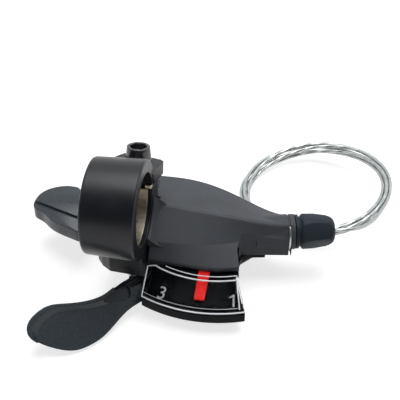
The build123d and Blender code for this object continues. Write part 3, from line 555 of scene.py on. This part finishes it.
def clamp_collar(context):
    """The curved saddle by which the cover's left end rises to the clamp ring."""
    clear_selection()
    bpy.ops.mesh.primitive_circle_add(vertices=len(COLLAR), fill_type="NGON")
    context.object.name = "clamp_collar"
    for vertex, (along, radius) in zip(context.object.data.vertices, COLLAR):
        vertex.co = round_the_bar(along, radius, COLLAR_START)
    bpy.ops.object.mode_set(mode="EDIT")
    bpy.ops.mesh.select_all(action="SELECT")
    bpy.ops.mesh.spin(steps=20, angle=math.radians(COLLAR_START - COLLAR_END),
                      center=(0.0, 0.0, 0.0), axis=(1.0, 0.0, 0.0))
    corner = round_the_bar(*COLLAR[0], COLLAR_END)
    onward = round_the_bar(0.0, 1.0, COLLAR_END + 90.0)
    for step, share in COLLAR_FADE:
        corner = corner + onward * step
        bpy.ops.mesh.extrude_region_move(TRANSFORM_OT_translate={"value": tuple(onward * step)})
        bpy.ops.transform.resize(value=(share, share, share), center_override=tuple(corner))
    return close_piece(context)


class SHIFTER_OT_housing(bpy.types.Operator):
    """Finishes the covers, draws out the top one and adds the saddle beside the clamp"""
    bl_idname = "shifter.housing"
    bl_label = "Housing"

    def execute(self, context):
        finish = context.scene.shifter_finish
        plastic = moulded_plastic("housing_satin", finish.housing, roughness=0.50, specular=0.22,
                                  grain=2000.0, depth=0.00006)
        dress(plastic, "bottom_cover")
        dress(moulded_plastic("tray_satin", finish.tray, roughness=0.50, specular=0.08),
              "base_housing")
        finish_piece(wide_cover(context), "shifter", plastic)
        finish_piece(clamp_collar(context), "shifter", plastic)
        return {"FINISHED"}


def cut_bar(context, piece, place, size):
    """Cuts one bar out of a piece."""
    clear_selection()
    bpy.ops.mesh.primitive_cube_add(size=1.0, location=place)
    cutter = context.object
    bpy.ops.transform.resize(value=size)
    clear_selection()
    piece.select_set(True)
    context.view_layer.objects.active = piece
    cut = piece.modifiers.new("cross", "BOOLEAN")
    cut.operation = "DIFFERENCE"
    cut.solver = "EXACT"
    cut.object = cutter
    bpy.ops.object.modifier_apply(modifier=cut.name)
    bpy.data.objects.remove(cutter)


def cross_headed(context, name):
    """Copies a node's screws and cuts a cross into each head; the copy stands for the node."""
    piece = copied_node(context, name, name + "_cross")
    weld_copy()
    bpy.ops.object.mode_set(mode="OBJECT")
    head, axes = SCREW_HEADS[name]
    for axis in axes:
        for size in CROSS_BARS:
            cut_bar(context, piece, (*axis, head), size)
    shade()
    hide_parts(name)
    return piece


def liner_lip(context):
    """The liner's upper end, turned out into the clamp's slit."""
    clear_selection()
    bpy.ops.mesh.primitive_cube_add(size=1.0, location=LIP_PLACE)
    piece = context.object
    piece.name = "liner_lip"
    bpy.ops.transform.resize(value=LIP_SIZE)
    bpy.ops.object.transform_apply(location=True, rotation=True, scale=True)
    bpy.ops.object.mode_set(mode="EDIT")
    bpy.ops.mesh.select_all(action="SELECT")
    bpy.ops.mesh.bevel(offset=LIP_ROUNDING, segments=2)
    bpy.ops.object.mode_set(mode="OBJECT")
    shade()
    return piece


class SHIFTER_OT_clamp(bpy.types.Operator):
    """Paints the clamp, rounds its bolt, turns out its liner and cuts the screws' heads"""
    bl_idname = "shifter.clamp"
    bl_label = "Clamp"

    def execute(self, context):
        finish = context.scene.shifter_finish
        dress(painted_metal("clamp_paint", finish.clamp, roughness=0.34, specular=0.34),
              "clamp_band", "base_plate")
        oxide = painted_metal("bolt_oxide", finish.bolt, roughness=0.16, specular=0.8)
        bolt = soften(context, "clamp_bolt", context.scene.shifter_trim.bolt_rounding)
        finish_piece(bolt, "shifter", oxide)
        zinc = plated_steel("liner_zinc", finish.liner, roughness=0.38)
        dress(zinc, "clamp_liner")
        finish_piece(liner_lip(context), "shifter", zinc)
        fastener = plated_steel("fastener_zinc", finish.steel, roughness=0.32)
        dress(fastener, "clamp_nut")
        for name in SCREW_HEADS:
            finish_piece(cross_headed(context, name), "shifter", fastener)
        return {"FINISHED"}


class SHIFTER_OT_mechanism(bpy.types.Operator):
    """Finishes the spool, pawls, springs and pins inside the pod"""
    bl_idname = "shifter.mechanism"
    bl_label = "Mechanism"

    def execute(self, context):
        finish = context.scene.shifter_finish
        dress(plated_steel("mechanism_steel", finish.steel, roughness=0.34),
              "pointer_post", "main_axle", "hold_pawl_pin", "release_pin", "spool_spacer",
              "drive_pin", "index_ratchet", "cable_nipple", "drive_pawl_pin", "drive_pawl",
              "hold_pawl", "cable_stop", "release_arm")
        dress(plated_steel("spring_steel", finish.spring, roughness=0.30),
              "axle_clip_upper", "axle_clip_lower", "spool_spring", "thumb_spring",
              "release_spring", "hold_pawl_spring", "drive_pawl_spring")
        dress(moulded_plastic("spool_acetal", finish.spool, roughness=0.42, specular=0.4,
                              grain=900.0), "spool")
        dress(plated_steel("run_wire", finish.wire, roughness=0.34),
              "cable_run", "cable_wrap", "adjuster_clip")
        dress(painted_metal("arm_paint", finish.arm, roughness=0.46, specular=0.4), "thumb_arm")
        return {"FINISHED"}


class SHIFTER_OT_levers(bpy.types.Operator):
    """Finishes the thumb paddle, and rounds and finishes the release tab"""
    bl_idname = "shifter.levers"
    bl_label = "Levers"

    def execute(self, context):
        plastic = moulded_plastic("lever_satin", context.scene.shifter_finish.lever,
                                  roughness=0.28, specular=0.42, grain=900.0, depth=0.000003)
        dress(plastic, "thumb_paddle")
        tab = soften(context, "release_tab", context.scene.shifter_trim.tab_rounding)
        finish_piece(tab, "release_lever", plastic)
        return {"FINISHED"}


class SHIFTER_OT_adjuster(bpy.types.Operator):
    """Rounds and finishes the barrel adjuster"""
    bl_idname = "shifter.adjuster"
    bl_label = "Adjuster"

    def execute(self, context):
        plastic = moulded_plastic("adjuster_satin", context.scene.shifter_finish.adjuster,
                                  roughness=0.50, specular=0.16)
        knob = soften(context, "adjuster_knob", context.scene.shifter_trim.knob_rounding)
        finish_piece(knob, "adjuster", plastic)
        return {"FINISHED"}


def round_ways(angle):
    """The ways outward from the pointer's pivot, and on round it."""
    turn = math.radians(angle)
    outward = Vector((math.cos(turn), math.sin(turn), 0.0))
    return outward, Vector((-outward.y, outward.x, 0.0))


def window_spot(radius, angle, drop):
    """A place below the window's top face."""
    height = WINDOW_TOP - WINDOW_SLOPE * (radius - WINDOW_INNER) - drop
    return Vector((*DIAL_PIVOT, height)) + round_ways(angle)[0] * radius


def start_bead(place, facing, thickness):
    """Starts a bead with a round end that faces along it, left selected in edit mode."""
    clear_selection()
    bpy.ops.mesh.primitive_circle_add(vertices=8, radius=0.5 * thickness, fill_type="NGON",
                                      location=place,
                                      rotation=facing.to_track_quat("Z", "Y").to_euler())
    bpy.ops.object.transform_apply(location=True, rotation=True, scale=True)
    bpy.ops.object.mode_set(mode="EDIT")
    bpy.ops.mesh.select_all(action="SELECT")


def straight_bead(context, start, end, thickness):
    """A thin bead between two places."""
    start_bead(start, end - start, thickness)
    bpy.ops.mesh.extrude_region_move(TRANSFORM_OT_translate={"value": tuple(end - start)})
    return close_piece(context)


def curved_bead(context, radius, drop, start, end, thickness):
    """A thin bead along the window, between two angles round the pointer's pivot."""
    start_bead(window_spot(radius, start, drop), round_ways(start)[1], thickness)
    bpy.ops.mesh.spin(steps=28, angle=math.radians(start - end), center=(*DIAL_PIVOT, 0.0),
                      axis=(0.0, 0.0, 1.0))
    return close_piece(context)


def window_highlights(context):
    """Pale beads along the window's polished edges, painted as the highlights that those edges
    catch as fine lines.
    """
    beads = [curved_bead(context, *edge) for edge in ROUND_HIGHLIGHTS]
    for start, end, thickness in LEFT_HIGHLIGHTS:
        beads.append(straight_bead(context, Vector(start), Vector(end), thickness))
    for start, end, thickness in RIGHT_HIGHLIGHTS:
        beads.append(straight_bead(context, window_spot(*start), window_spot(*end), thickness))
    clear_selection()
    for bead in beads:
        bead.select_set(True)
    context.view_layer.objects.active = beads[0]
    bpy.ops.object.join()
    beads[0].name = "window_highlights"
    return beads[0]


def slim_pointer(context):
    """The pointer's blade, drawn in at its right side and its tip."""
    piece = copied_node(context, "pointer", "pointer_blade")
    bpy.ops.object.mode_set(mode="EDIT")
    for place, way in POINTER_CUTS:
        bpy.ops.mesh.select_all(action="SELECT")
        bpy.ops.mesh.remove_doubles(threshold=NODE_WELD)
        bpy.ops.mesh.bisect(plane_co=place, plane_no=way, use_fill=True, clear_outer=True)
    bpy.ops.object.mode_set(mode="OBJECT")
    round_edges(piece, POINTER_ROUNDING, HARD_ANGLE)
    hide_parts("pointer")
    return piece


def add_flag():
    """Adds the slanted stroke at the top left of the figure one, whose letter form is a bar."""
    bpy.ops.object.mode_set(mode="EDIT")
    bpy.ops.mesh.select_all(action="DESELECT")
    bpy.ops.mesh.primitive_cube_add(size=1.0, location=FLAG_PLACE)
    bpy.ops.transform.resize(value=FLAG_SIZE)
    bpy.ops.transform.rotate(value=math.radians(FLAG_SLANT), orient_axis="Z",
                             center_override=FLAG_PLACE)
    bpy.ops.object.mode_set(mode="OBJECT")


def gear_number(context, text, radius, angle, tilt):
    """A number on the dial, whose foot is toward the window's outer edge."""
    clear_selection()
    bpy.ops.object.text_add()
    numeral = context.object
    numeral.name = "gear_number_" + text
    numeral.data.body = text
    numeral.data.size = context.scene.shifter_trim.numeral_size
    numeral.data.align_x = "CENTER"
    numeral.data.align_y = "CENTER"
    numeral.data.extrude = PRINT_HEIGHT
    bpy.ops.object.convert(target="MESH")
    if text == "1":
        add_flag()
    outward, across = round_ways(angle)
    up = (Vector((0.0, 0.0, WINDOW_SLOPE)) - outward).normalized()
    face = across.cross(up).normalized()
    upright = Matrix((across, up, face)).transposed()
    turned = Matrix.Rotation(math.radians(tilt), 3, face) @ upright
    spot = window_spot(radius, angle, PRINT_DROP)
    numeral.matrix_world = Matrix.Translation(spot) @ turned.to_4x4()
    bpy.ops.object.transform_apply(location=True, rotation=True, scale=True)
    return numeral


class SHIFTER_OT_window(bpy.types.Operator):
    """Makes the window clear with painted highlights on its edges, numbers the dial and slims the
    pointer
    """
    bl_idname = "shifter.window"
    bl_label = "Window"

    def execute(self, context):
        finish = context.scene.shifter_finish
        dress(clear_plastic("window_clear", finish.window), "window_lens")
        dress(moulded_plastic("dial_print", finish.dial, roughness=0.85, specular=0.03,
                              grain=1800.0, edge=0.0002, depth=0.00001), "dial_plate")
        red = moulded_plastic("pointer_satin", finish.pointer, roughness=0.60, specular=0.06,
                              grain=1200.0, edge=0.0002, depth=0.000005)
        finish_piece(slim_pointer(context), "pointer", red)
        # Pale beads painted as highlights on the window's polished edges.
        bright = painted_edge_highlight("window_highlight", finish.window_highlight)
        finish_piece(window_highlights(context), "shifter", bright)
        ink = moulded_plastic("numeral_ink", finish.numeral, roughness=0.55, specular=0.2,
                              grain=3000.0, edge=0.00005, depth=0.00001)
        for text, place in GEAR_NUMBERS.items():
            finish_piece(gear_number(context, text, *place), "shifter", ink)
        return {"FINISHED"}


def coil_turns(wire):
    """Centre line of the loose coil, whose turns lie twisted about each other in a tilted ring."""
    tilt = math.radians(COIL_TILT)
    points = []
    for i in range(int(wire.turns * 360.0 / COIL_STEP) + 1):
        passed = i * COIL_STEP
        angle = math.radians(COIL_START + passed)
        opening = 0.5 + 0.5 * math.cos(angle - math.radians(COIL_LOOSE))
        reach = wire.bundle * (1.0 + wire.looseness * opening)
        twist = math.radians(wire.twist * passed)
        radius = (wire.radius + reach * math.cos(twist)) / COIL_INSIDE
        lift = reach * math.sin(twist)
        across = radius * math.cos(angle)
        points.append((COIL_CENTRE[0] + across * math.cos(tilt) - lift * math.sin(tilt),
                       COIL_CENTRE[1] + radius * math.sin(angle),
                       COIL_CENTRE[2] + across * math.sin(tilt) + lift * math.cos(tilt)))
    return points


class SHIFTER_OT_wire(bpy.types.Operator):
    """Lays the inner wire from the adjuster into its loose coil"""
    bl_idname = "shifter.wire"
    bl_label = "Inner wire"

    def execute(self, context):
        wire = context.scene.shifter_wire
        curve = bpy.data.curves.new("inner_wire", "CURVE")
        curve.dimensions = "3D"
        curve.bevel_depth = 0.5 * wire.diameter
        curve.bevel_resolution = 3
        curve.resolution_u = 4
        curve.use_fill_caps = True
        points = LEAD + coil_turns(wire)
        line = curve.splines.new("NURBS")
        line.points.add(len(points) - 1)
        for point, place in zip(line.points, points):
            point.co = (*place, 1.0)
        line.order_u = 3
        line.use_endpoint_u = True
        piece = bpy.data.objects.new("inner_wire", curve)
        context.scene.collection.objects.link(piece)
        finish_piece(piece, "shifter",
                     stranded_wire("wire_strands", context.scene.shifter_finish.wire))
        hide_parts("cable_lead", "cable_coil")
        return {"FINISHED"}


def looked_at(nodes, links):
    """One where the camera, a reflection or a view through the window sees it, else nought."""
    rays = nodes.new("ShaderNodeLightPath").outputs
    direct = worked_out(nodes, links, "MAXIMUM", rays["Is Camera Ray"], rays["Is Glossy Ray"])
    return worked_out(nodes, links, "MAXIMUM", direct, rays["Is Transmission Ray"])


def studio_floor(context):
    """The pale floor, which looks white and casts little light."""
    clear_selection()
    bpy.ops.mesh.primitive_plane_add(size=FLOOR_SIZE, location=(0.0, 0.0, FLOOR))
    floor = context.object
    floor.name = "studio_floor"
    material, nodes, links, shader, places = new_finish("studio_floor")
    cloud = speckle(nodes, links, places["Object"], scale=3.0, detail=2.0)
    links.new(mottle(nodes, links, cloud, FLOOR_COLOUR, share=0.01), shader.inputs["Base Color"])
    shader.inputs["Roughness"].default_value = 0.9
    shader.inputs["Specular IOR Level"].default_value = 0.1
    shader.inputs["Emission Color"].default_value = (1.0, 1.0, 1.0, 1.0)
    glow = worked_out(nodes, links, "MULTIPLY", looked_at(nodes, links), FLOOR_GLOW)
    links.new(glow, shader.inputs["Emission Strength"])
    floor.data.materials.append(material)


def studio_surroundings(scene):
    """White surroundings that reflections show as darker toward the front."""
    stage = scene.shifter_stage
    world = bpy.data.worlds.new("studio_white")
    world.use_nodes = True
    scene.world = world
    nodes = world.node_tree.nodes
    links = world.node_tree.links
    surround = nodes["Background"]
    surround.inputs["Color"].default_value = (*SURROUND_COLOUR, 1.0)
    split = nodes.new("ShaderNodeSeparateXYZ")
    links.new(nodes.new("ShaderNodeTexCoord").outputs["Generated"], split.inputs["Vector"])
    backdrop = nodes.new("ShaderNodeMapRange")
    backdrop.interpolation_type = "SMOOTHSTEP"
    backdrop.inputs["From Min"].default_value = SURROUND_FRONT
    backdrop.inputs["From Max"].default_value = SURROUND_BACK
    backdrop.inputs["To Min"].default_value = stage.room
    backdrop.inputs["To Max"].default_value = 1.0
    links.new(split.outputs["Y"], backdrop.inputs["Value"])
    rays = nodes.new("ShaderNodeLightPath").outputs
    white = worked_out(nodes, links, "MAXIMUM", rays["Is Camera Ray"], backdrop.outputs["Result"])
    strength = nodes.new("ShaderNodeMix")
    strength.inputs["A"].default_value = stage.ambient
    links.new(looked_at(nodes, links), strength.inputs["Factor"])
    links.new(white, strength.inputs["B"])
    links.new(strength.outputs["Result"], surround.inputs["Strength"])


def area_light(scene, name, place, size, power):
    """A round soft light that faces the shifter."""
    light = bpy.data.lights.new(name, "AREA")
    light.shape = "DISK"
    light.size = size
    light.energy = power
    lamp = bpy.data.objects.new(name, light)
    lamp.location = place
    facing = Vector(LIGHT_TARGET) - Vector(place)
    lamp.rotation_euler = facing.to_track_quat("-Z", "Y").to_euler()
    scene.collection.objects.link(lamp)


def photo_camera(scene):
    """The camera, in front of the shifter and above it."""
    lens = bpy.data.cameras.new("photo_camera")
    lens.lens = scene.shifter_stage.lens
    lens.sensor_width = 36.0
    lens.clip_start = 0.01
    camera = bpy.data.objects.new("photo_camera", lens)
    camera.location = CAMERA_PLACE
    camera.rotation_euler = (math.radians(90.0 - CAMERA_RISE), 0.0, math.radians(CAMERA_TURN))
    scene.collection.objects.link(camera)
    scene.camera = camera


class SHIFTER_OT_stage(bpy.types.Operator):
    """Sets the pale floor, the white surroundings, the soft lights and the camera"""
    bl_idname = "shifter.stage"
    bl_label = "Stage"

    def execute(self, context):
        scene = context.scene
        stage = scene.shifter_stage
        studio_floor(context)
        studio_surroundings(scene)
        area_light(scene, "key_light", KEY_PLACE, KEY_SIZE, stage.key_power)
        area_light(scene, "fill_light", FILL_PLACE, FILL_SIZE, stage.fill_power)
        photo_camera(scene)
        scene.view_settings.view_transform = "Standard"
        return {"FINISHED"}


class SHIFTER_PT_panel(bpy.types.Panel):
    """Lists the shifter's finishes, sizes and pieces"""
    bl_idname = "SHIFTER_PT_panel"
    bl_label = "Trigger Gear Shifter"
    bl_space_type = "VIEW_3D"
    bl_region_type = "UI"
    bl_category = "Shifter"

    def draw(self, context):
        for group in GROUPS:
            values = getattr(context.scene, group)
            for name in values.__annotations__:
                self.layout.prop(values, name)
        for operator in OPERATORS:
            self.layout.operator(operator.bl_idname)


GROUPS = {
    "shifter_finish": ShifterFinish,
    "shifter_trim": ShifterTrim,
    "shifter_wire": ShifterWire,
    "shifter_stage": ShifterStage,
}
OPERATORS = (
    SHIFTER_OT_wire,
    SHIFTER_OT_housing,
    SHIFTER_OT_clamp,
    SHIFTER_OT_mechanism,
    SHIFTER_OT_levers,
    SHIFTER_OT_adjuster,
    SHIFTER_OT_window,
    SHIFTER_OT_stage,
)
CLASSES = (*GROUPS.values(), *OPERATORS, SHIFTER_PT_panel)


def register():
    for cls in CLASSES:
        bpy.utils.register_class(cls)
    for name, group in GROUPS.items():
        setattr(bpy.types.Scene, name, bpy.props.PointerProperty(type=group))


def unregister():
    for name in GROUPS:
        delattr(bpy.types.Scene, name)
    for cls in reversed(CLASSES):
        bpy.utils.unregister_class(cls)


def main():
    register()
    bpy.ops.shifter.wire()
    bpy.ops.shifter.housing()
    bpy.ops.shifter.clamp()
    bpy.ops.shifter.mechanism()
    bpy.ops.shifter.levers()
    bpy.ops.shifter.adjuster()
    bpy.ops.shifter.window()
    bpy.ops.shifter.stage()


if __name__ == "__main__":
    main()
